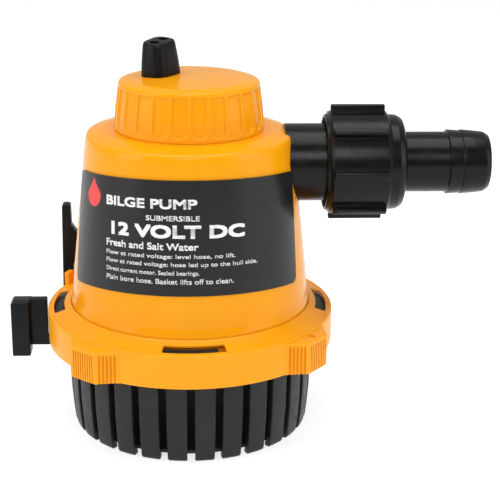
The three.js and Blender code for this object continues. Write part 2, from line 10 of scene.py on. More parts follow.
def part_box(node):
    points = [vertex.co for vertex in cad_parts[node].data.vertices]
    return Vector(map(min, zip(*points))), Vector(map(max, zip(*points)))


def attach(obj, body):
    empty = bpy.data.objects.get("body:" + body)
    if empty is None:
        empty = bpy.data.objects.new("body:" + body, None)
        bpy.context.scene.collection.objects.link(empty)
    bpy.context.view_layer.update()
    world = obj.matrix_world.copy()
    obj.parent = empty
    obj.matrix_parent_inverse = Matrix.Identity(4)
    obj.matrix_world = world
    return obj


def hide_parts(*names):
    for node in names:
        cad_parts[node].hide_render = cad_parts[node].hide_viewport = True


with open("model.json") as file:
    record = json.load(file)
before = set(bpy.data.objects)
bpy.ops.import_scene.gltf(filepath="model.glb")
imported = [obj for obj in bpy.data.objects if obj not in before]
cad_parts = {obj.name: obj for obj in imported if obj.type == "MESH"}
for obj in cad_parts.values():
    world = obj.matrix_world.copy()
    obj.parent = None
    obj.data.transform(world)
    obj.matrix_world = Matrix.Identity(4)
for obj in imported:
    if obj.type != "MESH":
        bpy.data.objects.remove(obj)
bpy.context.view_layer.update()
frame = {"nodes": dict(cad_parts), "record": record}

# The pump's axis is Z through the origin, +X runs along the discharge and -Y is the front.
# Sizes here are in millimetres and become metres where a mesh is made. Angles about Z are in
# degrees from the front, positive towards +X.

MM = 0.001


def node_box(node):
    """Lowest and highest corner of a CAD node, in millimetres."""
    low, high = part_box(node)
    return low / MM, high / MM


# ---- mesh helpers -------------------------------------------------------------------------

def make_object(name, vertices, faces, sharp=32):
    """A smooth-shaded mesh object from millimetre vertices, with edges kept where it turns sharply."""
    mesh = bpy.data.meshes.new(name)
    mesh.from_pydata([Vector(v) * MM for v in vertices], [], faces)
    piece = bpy.data.objects.new(name, mesh)
    bpy.context.scene.collection.objects.link(piece)
    clean(piece, sharp)
    return piece


def clean(piece, sharp=32):
    """Welds doubles, points every face outward and sets the shading."""
    work = bmesh.new()
    work.from_mesh(piece.data)
    bmesh.ops.remove_doubles(work, verts=work.verts, dist=0.002 * MM)
    bmesh.ops.dissolve_degenerate(work, edges=work.edges, dist=0.001 * MM)
    bmesh.ops.recalc_face_normals(work, faces=work.faces)
    work.to_mesh(piece.data)
    work.free()
    shade(piece, sharp)


def shade(piece, sharp=32):
    mesh = piece.data
    mesh.polygons.foreach_set("use_smooth", [True] * len(mesh.polygons))
    mesh.set_sharp_from_angle(angle=radians(sharp))
    mesh.update()


def rounded(corners, steps=5):
    """A closed 2D outline with its corners rounded: corners are (x, y, radius)."""
    points = []
    count = len(corners)
    for i, (x, y, radius) in enumerate(corners):
        here = Vector((x, y))
        before = Vector(corners[i - 1][:2]) - here
        after = Vector(corners[(i + 1) % count][:2]) - here
        if radius <= 0 or before.length < 1e-9 or after.length < 1e-9:
            points.append((x, y))
            continue
        into, out = before.normalized(), after.normalized()
        half = into.angle(out) / 2
        reach = min(radius / math.tan(half), before.length * 0.49, after.length * 0.49)
        start, end = here + into * reach, here + out * reach
        for k in range(steps + 1):
            t = k / steps
            blend = start.lerp(here, t).lerp(here.lerp(end, t), t)
            points.append((blend.x, blend.y))
    return points


def loft(name, rings, wrap=False, sharp=32):
    """A closed mesh through rings of equally many points; the ends are capped, or joined if wrap."""
    size = len(rings[0])
    vertices = [point for ring in rings for point in ring]
    faces = []
    spans = len(rings) if wrap else len(rings) - 1
    for i in range(spans):
        a, b = i * size, ((i + 1) % len(rings)) * size
        for k in range(size):
            n = (k + 1) % size
            faces.append((a + k, a + n, b + n, b + k))
    if not wrap:
        faces.append(tuple(range(size))[::-1])
        faces.append(tuple(range((len(rings) - 1) * size, len(rings) * size)))
    return make_object(name, vertices, faces, sharp)


def turned(name, outline, steps=192, sharp=32):
    """A solid turned about Z from a closed outline of (radius, z) points."""
    rings = []
    for radius, z in outline:
        radius = max(radius, 1e-4)
        ring = []
        for k in range(steps):
            angle = 2 * math.pi * k / steps
            ring.append((radius * cos(angle), radius * sin(angle), z))
        rings.append(ring)
    return loft(name, rings, wrap=True, sharp=sharp)


def transform(piece, matrix):
    piece.data.transform(matrix)
    piece.data.update()
    return piece


def moved(piece, x, y, z):
    return transform(piece, Matrix.Translation(Vector((x, y, z)) * MM))


def spun(piece, degrees):
    return transform(piece, Matrix.Rotation(radians(degrees), 4, "Z"))


def along_port(piece):
    """A solid made about Z, laid along the discharge with its own z as x."""
    turn = Matrix.Rotation(radians(90), 4, "Y")
    return transform(piece, Matrix.Translation((0, 0, PORT_Z * MM)) @ turn)


def prism(name, outline, bottom, top, edge=0.0):
    """A 2D outline raised from bottom to top, with its edges rounded by edge."""
    rings = [[(x, y, z) for x, y in outline] for z in (bottom, top)]
    piece = loft(name, rings, sharp=30)
    if edge:
        bevel(piece, edge)
    return piece


def apply_modifiers(piece):
    bpy.context.view_layer.update()
    graph = bpy.context.evaluated_depsgraph_get()
    result = bpy.data.meshes.new_from_object(piece.evaluated_get(graph), depsgraph=graph)
    piece.modifiers.clear()
    piece.data = result


def bevel(piece, width, segments=3, angle=30):
    edge = piece.modifiers.new("edge", "BEVEL")
    edge.width = width * MM
    edge.segments = segments
    edge.limit_method = "ANGLE"
    edge.angle_limit = radians(angle)
    apply_modifiers(piece)
    shade(piece)
    return piece


def combined(piece, tools, operation):
    """piece joined with, or cut by, each tool, which are used up."""
    for tool in tools:
        step = piece.modifiers.new("solid", "BOOLEAN")
        step.operation = operation
        step.solver = "EXACT"
        step.object = tool
        apply_modifiers(piece)
        bpy.data.objects.remove(tool)
    clean(piece)
    return piece


def cut(piece, tools):
    return combined(piece, tools, "DIFFERENCE")


def fuse(piece, tools):
    return combined(piece, tools, "UNION")


def gathered(name, pieces):
    """Several objects as one mesh object with their shells side by side."""
    work = bmesh.new()
    for piece in pieces:
        work.from_mesh(piece.data)
    mesh = bpy.data.meshes.new(name)
    work.to_mesh(mesh)
    work.free()
    for piece in pieces:
        bpy.data.objects.remove(piece)
    whole = bpy.data.objects.new(name, mesh)
    bpy.context.scene.collection.objects.link(whole)
    shade(whole)
    return whole


def polar(radius, degrees):
    angle = radians(degrees - 90)
    return radius * cos(angle), radius * sin(angle)


def arc_block(name, inner, outer, degrees, half, bottom, top, corner=0.6, edge=0.2):
    """A block between two radii about a direction, with rounded corners and edges."""
    steps = 14
    inner_arc = [polar(inner, degrees - half + 2 * half * k / steps) for k in range(steps + 1)]
    outer_arc = [polar(outer, degrees + half - 2 * half * k / steps) for k in range(steps + 1)]
    corners = []
    for arc in (inner_arc, outer_arc):
        for k, (x, y) in enumerate(arc):
            corners.append((x, y, corner if k in (0, steps) else 0))
    return prism(name, rounded(corners), bottom, top, edge)


def finish_piece(piece, body, material, nodes=()):
    piece.data.materials.clear()
    piece.data.materials.append(material)
    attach(piece, body)
    if nodes:
        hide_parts(*nodes)
    return piece


# ---- materials ----------------------------------------------------------------------------

def new_material(name):
    material = bpy.data.materials.new(name)
    material.use_nodes = True
    nodes = material.node_tree.nodes
    nodes.clear()
    output = nodes.new("ShaderNodeOutputMaterial")
    shader = nodes.new("ShaderNodeBsdfPrincipled")
    material.node_tree.links.new(shader.outputs["BSDF"], output.inputs["Surface"])
    return material, shader


def noise(material, scale, detail=3.0, roughness=0.55):
    """Fractal noise in the object's own space; scale is in cycles per metre."""
    tree = material.node_tree
    place = tree.nodes.new("ShaderNodeTexCoord")
    texture = tree.nodes.new("ShaderNodeTexNoise")
    texture.inputs["Scale"].default_value = scale
    texture.inputs["Detail"].default_value = detail
    texture.inputs["Roughness"].default_value = roughness
    tree.links.new(place.outputs["Object"], texture.inputs["Vector"])
    return texture.outputs["Fac"]


def remap(material, value, low, high, from_low=0.3, from_high=0.7):
    tree = material.node_tree
    node = tree.nodes.new("ShaderNodeMapRange")
    node.inputs["From Min"].default_value = from_low
    node.inputs["From Max"].default_value = from_high
    node.inputs["To Min"].default_value = low
    node.inputs["To Max"].default_value = high
    tree.links.new(value, node.inputs["Value"])
    return node.outputs["Result"]


def mixed_colour(material, factor, first, second):
    tree = material.node_tree
    node = tree.nodes.new("ShaderNodeMix")
    node.data_type = "RGBA"
    for socket, colour in (("A", first), ("B", second)):
        port = next(s for s in node.inputs if s.name == socket and s.type == "RGBA")
        if hasattr(colour, "is_output"):
            tree.links.new(colour, port)
        else:
            port.default_value = (*colour, 1)
    tree.links.new(factor, node.inputs["Factor"])
    return next(s for s in node.outputs if s.type == "RGBA")


def bumped(material, shader, height, strength, distance, round_edges):
    """Surface relief over a normal that is softened at the edges."""
    tree = material.node_tree
    relief = tree.nodes.new("ShaderNodeBump")
    relief.inputs["Strength"].default_value = strength
    relief.inputs["Distance"].default_value = distance * MM
    tree.links.new(height, relief.inputs["Height"])
    if round_edges:
        soft = tree.nodes.new("ShaderNodeBevel")
        soft.samples = 6
        soft.inputs["Radius"].default_value = round_edges * MM
        tree.links.new(soft.outputs["Normal"], relief.inputs["Normal"])
    tree.links.new(relief.outputs["Normal"], shader.inputs["Normal"])


def moulded(name, colour, shade_colour, roughness, spread, grain, relief, round_edges=0.25,
            specular=0.5):
    """Moulded plastic or rubber: mottled colour, uneven gloss and a fine moulded grain."""
    material, shader = new_material(name)
    tree = material.node_tree
    mottle = remap(material, noise(material, 90, 4), 0, 1)
    tree.links.new(mixed_colour(material, mottle, colour, shade_colour), shader.inputs["Base Color"])
    gloss = remap(material, noise(material, 260, 5), roughness - spread, roughness + spread)
    tree.links.new(gloss, shader.inputs["Roughness"])
    shader.inputs["Specular IOR Level"].default_value = specular
    bumped(material, shader, noise(material, grain, 4), 0.5, relief, round_edges)
    return material


def metal(name, colour, shade_colour, roughness, grain, relief):
    material, shader = new_material(name)
    tree = material.node_tree
    mottle = remap(material, noise(material, 300, 4), 0, 1)
    tree.links.new(mixed_colour(material, mottle, colour, shade_colour), shader.inputs["Base Color"])
    shader.inputs["Metallic"].default_value = 1.0
    gloss = remap(material, noise(material, 700, 3), roughness - 0.08, roughness + 0.1)
    tree.links.new(gloss, shader.inputs["Roughness"])
    bumped(material, shader, noise(material, grain, 3), 0.4, relief, 0.1)
    return material


yellow = moulded("yellow_moulding", (0.88, 0.34, 0.002), (0.91, 0.36, 0.004),
                 roughness=0.20, spread=0.05, grain=900, relief=0.01, round_edges=0.2, specular=0.18)
ring_yellow = moulded("yellow_ring", (0.90, 0.35, 0.003), (0.94, 0.375, 0.006),
                      roughness=0.32, spread=0.06, grain=1600,
                      relief=0.02, round_edges=0.1, specular=0.22)
base_black = moulded("black_matte", (0.010, 0.010, 0.010), (0.016, 0.016, 0.016),
                     roughness=0.44, spread=0.08, grain=2200,
                     relief=0.03, round_edges=0.25, specular=0.3)
pipe_black = moulded("black_satin", (0.003, 0.003, 0.003), (0.006, 0.006, 0.005),
                     roughness=0.25, spread=0.06, grain=1500,
                     relief=0.02, round_edges=0.25, specular=0.2)
bracket_black = moulded("black_bracket", (0.003, 0.003, 0.004), (0.005, 0.005, 0.006),
                        roughness=0.38, spread=0.06, grain=2000,
                        relief=0.03, round_edges=0.25, specular=0.2)
rubber = moulded("black_rubber", (0.002, 0.002, 0.002), (0.006, 0.006, 0.007),
                 roughness=0.40, spread=0.08, grain=2600, relief=0.04, round_edges=0.3, specular=0.16)
film = moulded("label_film", (0.010, 0.0105, 0.010), (0.013, 0.0135, 0.013),
               roughness=0.26, spread=0.04, grain=500, relief=0.004, round_edges=0.0, specular=0.3)
white_ink = moulded("label_white", (0.82, 0.82, 0.80), (0.88, 0.88, 0.86),
                    roughness=0.45, spread=0.04, grain=900, relief=0.002, round_edges=0.0)
red_ink = moulded("label_red", (0.75, 0.03, 0.03), (0.80, 0.05, 0.045),
                  roughness=0.42, spread=0.04, grain=900, relief=0.002, round_edges=0.0)
white_plastic = moulded("white_plastic", (0.62, 0.60, 0.54), (0.72, 0.70, 0.64),
                        roughness=0.45, spread=0.06, grain=1500, relief=0.02)
carbon = moulded("carbon", (0.03, 0.03, 0.03), (0.05, 0.05, 0.05),
                 roughness=0.6, spread=0.1, grain=3000, relief=0.03)
ferrite = moulded("ferrite", (0.06, 0.06, 0.065), (0.09, 0.09, 0.095),
                  roughness=0.62, spread=0.08, grain=2500, relief=0.05)
zinc = metal("zinc_steel", (0.50, 0.51, 0.52), (0.62, 0.63, 0.64),
             roughness=0.35, grain=2000, relief=0.02)
ground_steel = metal("ground_steel", (0.62, 0.62, 0.63), (0.72, 0.72, 0.73),
                     roughness=0.22, grain=4000, relief=0.01)
laminations = metal("laminations", (0.26, 0.27, 0.29), (0.36, 0.37, 0.39),
                    roughness=0.42, grain=3500, relief=0.04)
copper = metal("copper_wire", (0.55, 0.22, 0.10), (0.66, 0.29, 0.14),
               roughness=0.38, grain=3500, relief=0.08)
bronze = metal("sintered_bronze", (0.42, 0.28, 0.11), (0.52, 0.36, 0.16),
               roughness=0.45, grain=3500, relief=0.05)

SLOT_MATERIALS = {
    "yellow_plastic": yellow,
    "black_plastic": base_black,
    "gloss_black_plastic": pipe_black,
    "label_film": film,
    "black_rubber": rubber,
    "white_plastic": white_plastic,
    "zinc_steel": zinc,
    "shaft_steel": ground_steel,
    "ferrite": ferrite,
    "silicon_steel": laminations,
    "copper": copper,
    "carbon": carbon,
    "bronze": bronze,
}

for subpart in frame["record"]["subparts"]:
    node = frame["nodes"][subpart["node"]]
    node.data.materials.clear()
    node.data.materials.append(SLOT_MATERIALS[subpart["material_slot"]])

# ---- strainer base ------------------------------------------------------------------------

BAR_COUNT = 28
SLOT_HALF = 1.2
RIM_OUTER = 40.2
RIM_INNER = 38.5
RIM_TOP = 36.7
BAYONET_ANGLES = (0, 90, 180, 270)


def piecewise(points, z):
    """Linear interpolation of radius over height."""
    for (low, first), (high, last) in zip(points, points[1:]):
        if z <= high:
            return first + (last - first) * (z - low) / (high - low)
    return points[-1][1]


OUTER_WALL = [(0, 38.6), (5.5, 39.2), (13, 39.8), (28.2, 40.1)]
INNER_WALL = [(0, 35.7), (3.6, 37.0), (28.2, 38.4)]


def basket_bar(index):
    """One upright bar with rounded outer edges and a rounded foot."""
    pitch = 2 * math.pi / BAR_COUNT
    middle = -math.pi / 2 + (index + 0.5) * pitch
    heights = [0, 0.15, 0.4, 0.8, 1.4, 2.2, 3.2, 5, 8, 12, 16, 20, 24, 28.1]
    rings = []
    for z in heights:
        foot = max(0.0, 1 - z / 1.6)
        tuck = 1.2 * (1 - math.sqrt(max(0.0, 1 - foot * foot)))
        side = 0.5 * (1 - math.sqrt(max(0.0, 1 - max(0.0, 1 - z / 0.8) ** 2)))
        outer = piecewise(OUTER_WALL, z) - tuck
        inner = piecewise(INNER_WALL, z) + 0.3 * foot
        outer_half = pitch / 2 - math.asin((SLOT_HALF + side) / outer)
        inner_half = pitch / 2 - math.asin((SLOT_HALF + side) / inner)
        corners = []
        for k in range(9):
            angle = outer_half * (2 * k / 8 - 1)
            corners.append((outer, angle, 0.55 if k in (0, 8) else 0))
        for k in range(5):
            angle = inner_half * (1 - 2 * k / 4)
            corners.append((inner, angle, 0.3 if k in (0, 4) else 0))
        flat = [(r * cos(middle + a), r * sin(middle + a), f) for r, a, f in corners]
        rings.append([(x, y, z) for x, y in rounded(flat, 4)])
    return loft(f"bar_{index}", rings)


def bayonet_lug(angle):
    """A lug with a sloping top that lies just under the lock ring's plate, seen in its window."""
    block = arc_block("lug", RIM_OUTER - 0.6, 44.6, angle, 11.4, 32.2, 39.1, 0.8, 0)
    step = turned("step", [(38, 36.4), (41.4, 36.4), (41.4, 41), (38, 41)], 192)
    slope = turned("slope", [(41.4, 39.1), (45.4, 38.0), (46, 38.0), (46, 41), (41.4, 41)], 192)
    return bevel(cut(block, [step, slope]), 0.3)


def make_strainer():
    bars = [basket_bar(i) for i in range(BAR_COUNT)]
    rim = turned("rim", rounded([
        (RIM_INNER, 27.9, 0.2), (40.0, 27.4, 0.4), (RIM_OUTER, 28.4, 0.1),
        (RIM_OUTER, RIM_TOP, 0.35), (RIM_INNER, RIM_TOP, 0.35),
    ]))
    under_rim = turned("under_rim", rounded([
        (37.2, 25.6, 0.4), (38.3, 25.6, 0.4), (38.6, 28.2, 0.1), (RIM_INNER, 29.5, 0.1),
        (38.2, 29.5, 0.1),
    ]))
    floor = turned("floor", rounded([
        (0, 1.6, 0), (35.4, 1.6, 0.4), (36.9, 2.2, 0.3), (36.9, 3.4, 0.3), (0, 3.6, 0),
    ]))
    seat = turned("seat", rounded([(0, 0, 0), (7, 0, 0.5), (7, 2, 0), (0, 2, 0)]), 64)
    pieces = [rim, under_rim, floor, seat]
    for side in (-1, 1):
        boss = turned("boss", rounded([
            (2.3, 0, 0.3), (4.6, 0, 0.4), (4.6, 8, 0.5), (2.3, 8, 0.3),
        ]), 48)
        pieces.append(moved(boss, side * 24, 0, 0))
    for angle in range(0, 360, 45):
        rib = prism("rib", rounded([(8, -0.8, 0.2), (33, -0.8, 0.2), (33, 0.8, 0.2), (8, 0.8, 0.2)]),
                    0.4, 1.8, 0.2)
        pieces.append(spun(rib, angle + 22.5))
    for angle in BAYONET_ANGLES:
        pieces.append(bayonet_lug(angle))
    strainer = gathered("strainer_basket", bars + pieces)
    finish_piece(strainer, "base", base_black, ["strainer_base"])


def make_bracket():
    low, high = node_box("switch_bracket")
    left, top, bottom = low.x, high.z, low.z
    inner = left + 6
    rail = prism("rail", rounded([
        (left, low.y, 0.6), (inner, low.y, 0.6), (inner, high.y, 0.6), (left, high.y, 0.6),
    ]), bottom, top, 0.4)
    corner = prism("corner", [(left - 1, top - 1.6), (left - 1, top + 1), (left + 1.9, top + 1)],
                   -10, 10)
    transform(corner, Matrix.Rotation(radians(90), 4, "X"))
    rail = bevel(cut(rail, [corner]), 0.25)
    arm = prism("arm", rounded([
        (inner - 0.4, -0.4, 0), (high.x, -0.4, 0), (high.x, 2.8, 0), (inner - 0.4, 2.8, 0),
    ]), 24.5, 27.7, 0.3)
    web = prism("web", rounded([
        (inner - 0.4, -1.2, 0), (inner + 0.6, -0.4, 1), (-47.2, -0.4, 0), (-47.2, 2.8, 0),
        (inner + 0.6, 2.8, 1), (inner - 0.4, 3.6, 0),
    ]), 24.6, top + 0.1, 0.3)
    bracket = fuse(rail, [web, arm])
    bracket.name = "switch_rail"
    finish_piece(bracket, "base", bracket_black, ["switch_bracket"])


def make_lever():
    low, high = node_box("release_lever")
    front = -40.4
    outline = rounded([
        (low.x, low.z, 0.4), (front, low.z, 0.4), (front, 43.5, 2), (high.x, 46.5, 1.5),
        (high.x, 55, 0.8), (front - 0.3, 57.6, 0.8), (front - 0.5, high.z, 1.0),
        (low.x + 0.6, high.z, 1.0),
    ])
    blade = prism("lever_blade", outline, -high.y, -low.y, 0.4)
    transform(blade, Matrix.Rotation(radians(90), 4, "X"))
    shade(blade)
    finish_piece(blade, "release_lever", bracket_black, ["release_lever"])


# ---- lock ring ----------------------------------------------------------------------------

RING_OUTER = 46.6
RING_BOTTOM = 28.3
GRIPS = ((51, 1), (-40, -1), (139, 0))  # direction, and the side that has coarse ribs
WINDOW_ANGLES = (1.4, 90, 180, 270)  # the front one stands slightly to the right
GRIP_RADIUS = 51.2
GRIP_ROOT_RADIUS = 45.9             # just inside the ring's side
GRIP_FACE_HALF = 5.4
GRIP_ROOT_HALF = 14
FINE_GROOVE = 0.27
COARSE_GROOVE = 0.4


def grip(angle, groove_side):
    """A corner-shaped grip: fine ribs on its face, coarse ones on the side towards the front."""
    root_a = polar(GRIP_ROOT_RADIUS, angle - GRIP_ROOT_HALF)
    root_b = polar(GRIP_ROOT_RADIUS, angle + GRIP_ROOT_HALF)
    face_a = polar(GRIP_RADIUS, angle - GRIP_FACE_HALF)
    face_b = polar(GRIP_RADIUS, angle + GRIP_FACE_HALF)
    block = prism("grip", rounded([(*root_a, 0), (*face_a, 0.4), (*face_b, 0.4), (*root_b, 0)]),
                  RING_BOTTOM, 38.7, 0.25)
    fine = [Vector(face_a).lerp(Vector(face_b), (k + 1) / 10) for k in range(9)]
    tools = [groove(at, FINE_GROOVE) for at in fine]
    if groove_side:
        start, end = (face_a, root_a) if groove_side > 0 else (face_b, root_b)
        coarse = [Vector(start).lerp(Vector(end), 0.14 + 0.13 * k) for k in range(5)]
        tools += [groove(at, COARSE_GROOVE) for at in coarse]
    return cut(block, tools)


def groove(at, radius):
    """A vertical cutting rod just inside a face, that fades out below the grip's top edge."""
    rod = turned("rod", [
        (0, RING_BOTTOM - 1), (radius, RING_BOTTOM - 1), (radius, 37.2), (0.02, 38.2), (0, 38.2),
    ], 12)
    sunk = at - at.normalized() * radius * 0.7
    return moved(rod, sunk.x, sunk.y, 0)


def make_lock_ring():
    ring = turned("twist_ring", rounded([
        (45.1, RING_BOTTOM, 0.3), (RING_OUTER, RING_BOTTOM, 0.4), (RING_OUTER, 39.0, 0.5),
        (45.7, 39.25, 0.4), (45.2, 39.15, 0.4), (41.5, 40.3, 0.8), (39.9, 41.0, 0.8),
        (39.05, 41.6, 0.5), (39.05, 40.3, 0.2), (41, 39.9, 0.2), (45.1, 38.6, 0.4),
    ]), 256)
    windows = []
    for angle in WINDOW_ANGLES:
        windows.append(arc_block("window", 41.3, 44.7, angle, 12.8, 34, 44, 0.5, 0))
    cut(ring, windows)
    extras = [grip(angle, side) for angle, side in GRIPS]
    extras.append(arc_block("peg", 44.9, 46.5, -115, 2.2, 38.0, 43.5, 0.5, 0.4))
    recess = turned("recess", [(0, 37.5), (1.35, 38.2), (1.35, 40), (0, 40)], 24)
    fuse(ring, extras)
    cut(ring, [moved(recess, *polar(48.4, 51), 0)])
    ledges = []
    for angle in BAYONET_ANGLES:
        ledges.append(arc_block("ledge", 41.2, 45.4, angle - 22, 8, 28.8, 31.6, 0.5, 0.2))
    ring = gathered("twist_ring", [ring] + ledges)
    finish_piece(ring, "lock_ring", ring_yellow, ["lock_ring"])


# ---- body ---------------------------------------------------------------------------------

CONE_FOOT = (37.5, 54.0)
CONE_HEAD = (33.0, 95.0)
SHOULDER_TOP = 98.4
PORT_LOW, PORT_HIGH = node_box("discharge_port")
PORT_Z = (PORT_LOW.z + PORT_HIGH.z) / 2
PORT_RADIUS = 12.4
PORT_ROOT = 30.2                    # where the spigot starts, in the body's wall


def make_body():
    shell = turned("body_shell", rounded([
        (38.0, 30, 0.2), (38.0, 37.1, 0), (40.7, 37.1, 0.2), (40.7, 38.2, 0.2), (38.9, 38.6, 0),
        (38.9, 42.0, 0.6), (38.3, 44.2, 3), (38.0, 48, 6), (*CONE_FOOT, 8), (*CONE_HEAD, 3),
        (32.5, 97.0, 3.4), (27, SHOULDER_TOP, 2), (24, SHOULDER_TOP, 1), (20.8, SHOULDER_TOP, 0.3),
        (20.8, 108, 0.3), (18.9, 108, 0.3), (18.9, 96.4, 0.5), (29, 96.2, 2), (30.9, 93.2, 2),
        (35.4, 54, 4), (36.4, 30, 0),
    ], 8), 256)
    bore = PORT_RADIUS + 0.1
    hole = turned("hole", [(0, PORT_ROOT), (bore, PORT_ROOT), (bore, 44), (0, 44)], 96)
    cut(shell, [along_port(hole)])
    finish_piece(shell, "pump_head", yellow, ["pump_body"])


# ---- label --------------------------------------------------------------------------------

CONE_SLOPE = (CONE_FOOT[0] - CONE_HEAD[0]) / (CONE_HEAD[1] - CONE_FOOT[1])
CONE_ANGLE = math.atan(CONE_SLOPE)
APEX_Z = CONE_FOOT[1] + CONE_FOOT[0] / CONE_SLOPE
LABEL_BOTTOM = 54.9
LABEL_HEIGHT = 35.2
LABEL_FROM = -46.0
LABEL_TO = 40.2
LABEL_CORNER = 2.4
FILM_LIFT = 0.22
FILM_THICKNESS = 0.28
INK = 0.03                          # how far print stands off the film, and reaches into it
STRIP = 0.8                         # widest flat strip in a letter
LABEL_FOOT_DISTANCE = (APEX_Z - LABEL_BOTTOM) / cos(CONE_ANGLE)


def on_film(across, up, lift):
    """A point of the flat film, from the front middle of its lower edge, wrapped on the cone."""
    down = LABEL_FOOT_DISTANCE - up
    distance = math.hypot(across, down)
    angle = math.atan2(across, down) / sin(CONE_ANGLE)
    radius = distance * sin(CONE_ANGLE) + lift * cos(CONE_ANGLE)
    z = APEX_Z - distance * cos(CONE_ANGLE) + lift * sin(CONE_ANGLE)
    return radius * sin(angle), -radius * cos(angle), z


def film_sheet(name, left, right, span, inner, outer):
    """A thin closed sheet on the cone; span gives its lower and upper edge at a place across."""
    columns = 150
    rows = 8
    rings = []
    for i in range(columns + 1):
        across = left + (right - left) * (1 - cos(math.pi * i / columns)) / 2
        bottom, top = span(across)
        top = max(top, bottom + 0.02)
        levels = [bottom + (top - bottom) * k / rows for k in range(rows + 1)]
        ring = [on_film(across, v, outer) for v in levels]
        ring += [on_film(across, v, inner) for v in reversed(levels)]
        rings.append(ring)
    return loft(name, rings)


def label_span(across):
    """Edges of the label, which has rounded corners."""
    reach = min(across - LABEL_FROM, LABEL_TO - across, LABEL_CORNER)
    inset = LABEL_CORNER - math.sqrt(max(0.0, LABEL_CORNER ** 2 - (LABEL_CORNER - reach) ** 2))
    return inset, LABEL_HEIGHT - inset


def flat_letters(text):
    """Mesh of a line of closed flat letters, and its lowest and highest corner."""
    data = bpy.data.curves.new("line", "FONT")
    data.body = text
    data.extrude = 0.5
    data.resolution_u = 3
    shape = bpy.data.objects.new("line", data)
    bpy.context.scene.collection.objects.link(shape)
    bpy.context.view_layer.update()
    graph = bpy.context.evaluated_depsgraph_get()
    mesh = bpy.data.meshes.new_from_object(shape.evaluated_get(graph), depsgraph=graph)
    bpy.data.objects.remove(shape)
    xs = [v.co.x for v in mesh.vertices]
    ys = [v.co.y for v in mesh.vertices]
    return mesh, (min(xs), min(ys)), (max(xs), max(ys))


def sliced(mesh, low, high, count):
    """Cut the mesh into upright strips, so that it can follow a curve."""
    work = bmesh.new()
    work.from_mesh(mesh)
    for k in range(1, count):
        x = low + (high - low) * k / count
        bmesh.ops.bisect_plane(work, geom=work.verts[:] + work.edges[:] + work.faces[:],
                               plane_co=(x, 0, 0), plane_no=(1, 0, 0))
    work.to_mesh(mesh)
    work.free()


def film_text(text, across, up, height, width, weight=0.0):
    """Generic wording scaled to a size, thickened by weight and wrapped on the film."""
    shifts = [(-weight, -weight), (weight, -weight), (weight, weight), (-weight, weight)]
    letters, low, high = flat_letters(text)
    sliced(letters, low[0], high[0], math.ceil(width / STRIP))
    copies = []
    for shift_x, shift_y in shifts if weight else [(0, 0)]:
        mesh = letters.copy()
        x_scale = (width - 2 * weight) / (high[0] - low[0])
        y_scale = (height - 2 * weight) / (high[1] - low[1])
        for vertex in mesh.vertices:
            x = across + weight + shift_x + (vertex.co.x - low[0]) * x_scale
            y = up + weight + shift_y + (vertex.co.y - low[1]) * y_scale
            lift = FILM_LIFT + FILM_THICKNESS + (INK if vertex.co.z > 0 else -INK)
            vertex.co = Vector(on_film(x, y, lift)) * MM
        copy = bpy.data.objects.new("line", mesh)
        bpy.context.scene.collection.objects.link(copy)
        clean(copy, 60)
        copies.append(copy)
    bpy.data.meshes.remove(letters)
    return gathered("line", copies)


DROP_ACROSS = -34.2
DROP_UP = 25.1
DROP_RADIUS = 3.7
DROP_HEIGHT = 9.0


def drop_span(across):
    """Edges of a plain water drop: a round foot that rises to a point."""
    part = min(1.0, abs(across - DROP_ACROSS) / DROP_RADIUS)
    round_part = DROP_RADIUS * math.sqrt(1 - part * part)
    middle = DROP_UP + DROP_RADIUS
    point = DROP_HEIGHT - 1.6 * DROP_RADIUS
    return middle - round_part, middle + 0.6 * round_part + point * (1 - part) ** 2


TEXT_LEFT = -27.7
LABEL_LINES = [                     # words, left edge, lower edge, height, width, thickening
    ("BILGE PUMP", TEXT_LEFT, 26.6, 3.0, 29.9, 0.15),
    ("SUBMERSIBLE", -13.3, 23.0, 1.6, 16.2, 0.05),
    ("12 VOLT DC", -25.6, 17.7, 4.1, 42.5, 0.26),
    ("Fresh and Salt Water", TEXT_LEFT, 14.1, 2.2, 30.2, 0.08),
    ("Flow at rated voltage: level hose, no lift.", TEXT_LEFT, 11.2, 1.7, 41.5, 0.03),
    ("Flow at rated voltage: hose led up to the hull side.", TEXT_LEFT, 8.7, 1.7, 49, 0.03),
    ("Direct current motor. Sealed bearings.", TEXT_LEFT, 6.1, 1.7, 30.4, 0.03),
    ("Plain bore hose. Basket lifts off to clean.", TEXT_LEFT, 3.7, 1.6, 41, 0.03),
]


def make_label():
    surface = FILM_LIFT + FILM_THICKNESS
    sheet = film_sheet("label_sheet", LABEL_FROM, LABEL_TO, label_span, FILM_LIFT, surface)
    finish_piece(sheet, "pump_head", film, ["label"])
    white = [film_text(*line) for line in LABEL_LINES]
    finish_piece(gathered("label_print", white), "pump_head", white_ink)
    drop = film_sheet("label_drop", DROP_ACROSS - DROP_RADIUS, DROP_ACROSS + DROP_RADIUS, drop_span,
                      surface - INK, surface + INK)
    finish_piece(drop, "pump_head", red_ink)


# ---- discharge ----------------------------------------------------------------------------

THREAD_COUNT = 3
THREAD_START = 46.5
THREAD_PITCH = 2.5
THREAD_RADIUS = 13.0
NUT_RIBS = 8


def make_port():
    threads = []
    for k in range(THREAD_COUNT):
        x = THREAD_START + THREAD_PITCH * k
        threads += [(PORT_RADIUS, x, 0), (THREAD_RADIUS, x + 0.7, 0.2),
                    (THREAD_RADIUS, x + 1.1, 0.2), (PORT_RADIUS, x + 1.8, 0)]
    port = turned("port_tube", rounded([
        (8.2, PORT_ROOT, 0.2), (PORT_RADIUS, PORT_ROOT, 0.2), *threads,
        (PORT_RADIUS, PORT_HIGH.x, 0.4), (8.2, PORT_HIGH.x, 0.4),
    ]), 160)
    finish_piece(along_port(port), "pump_head", pipe_black,
                 ["discharge_port"])


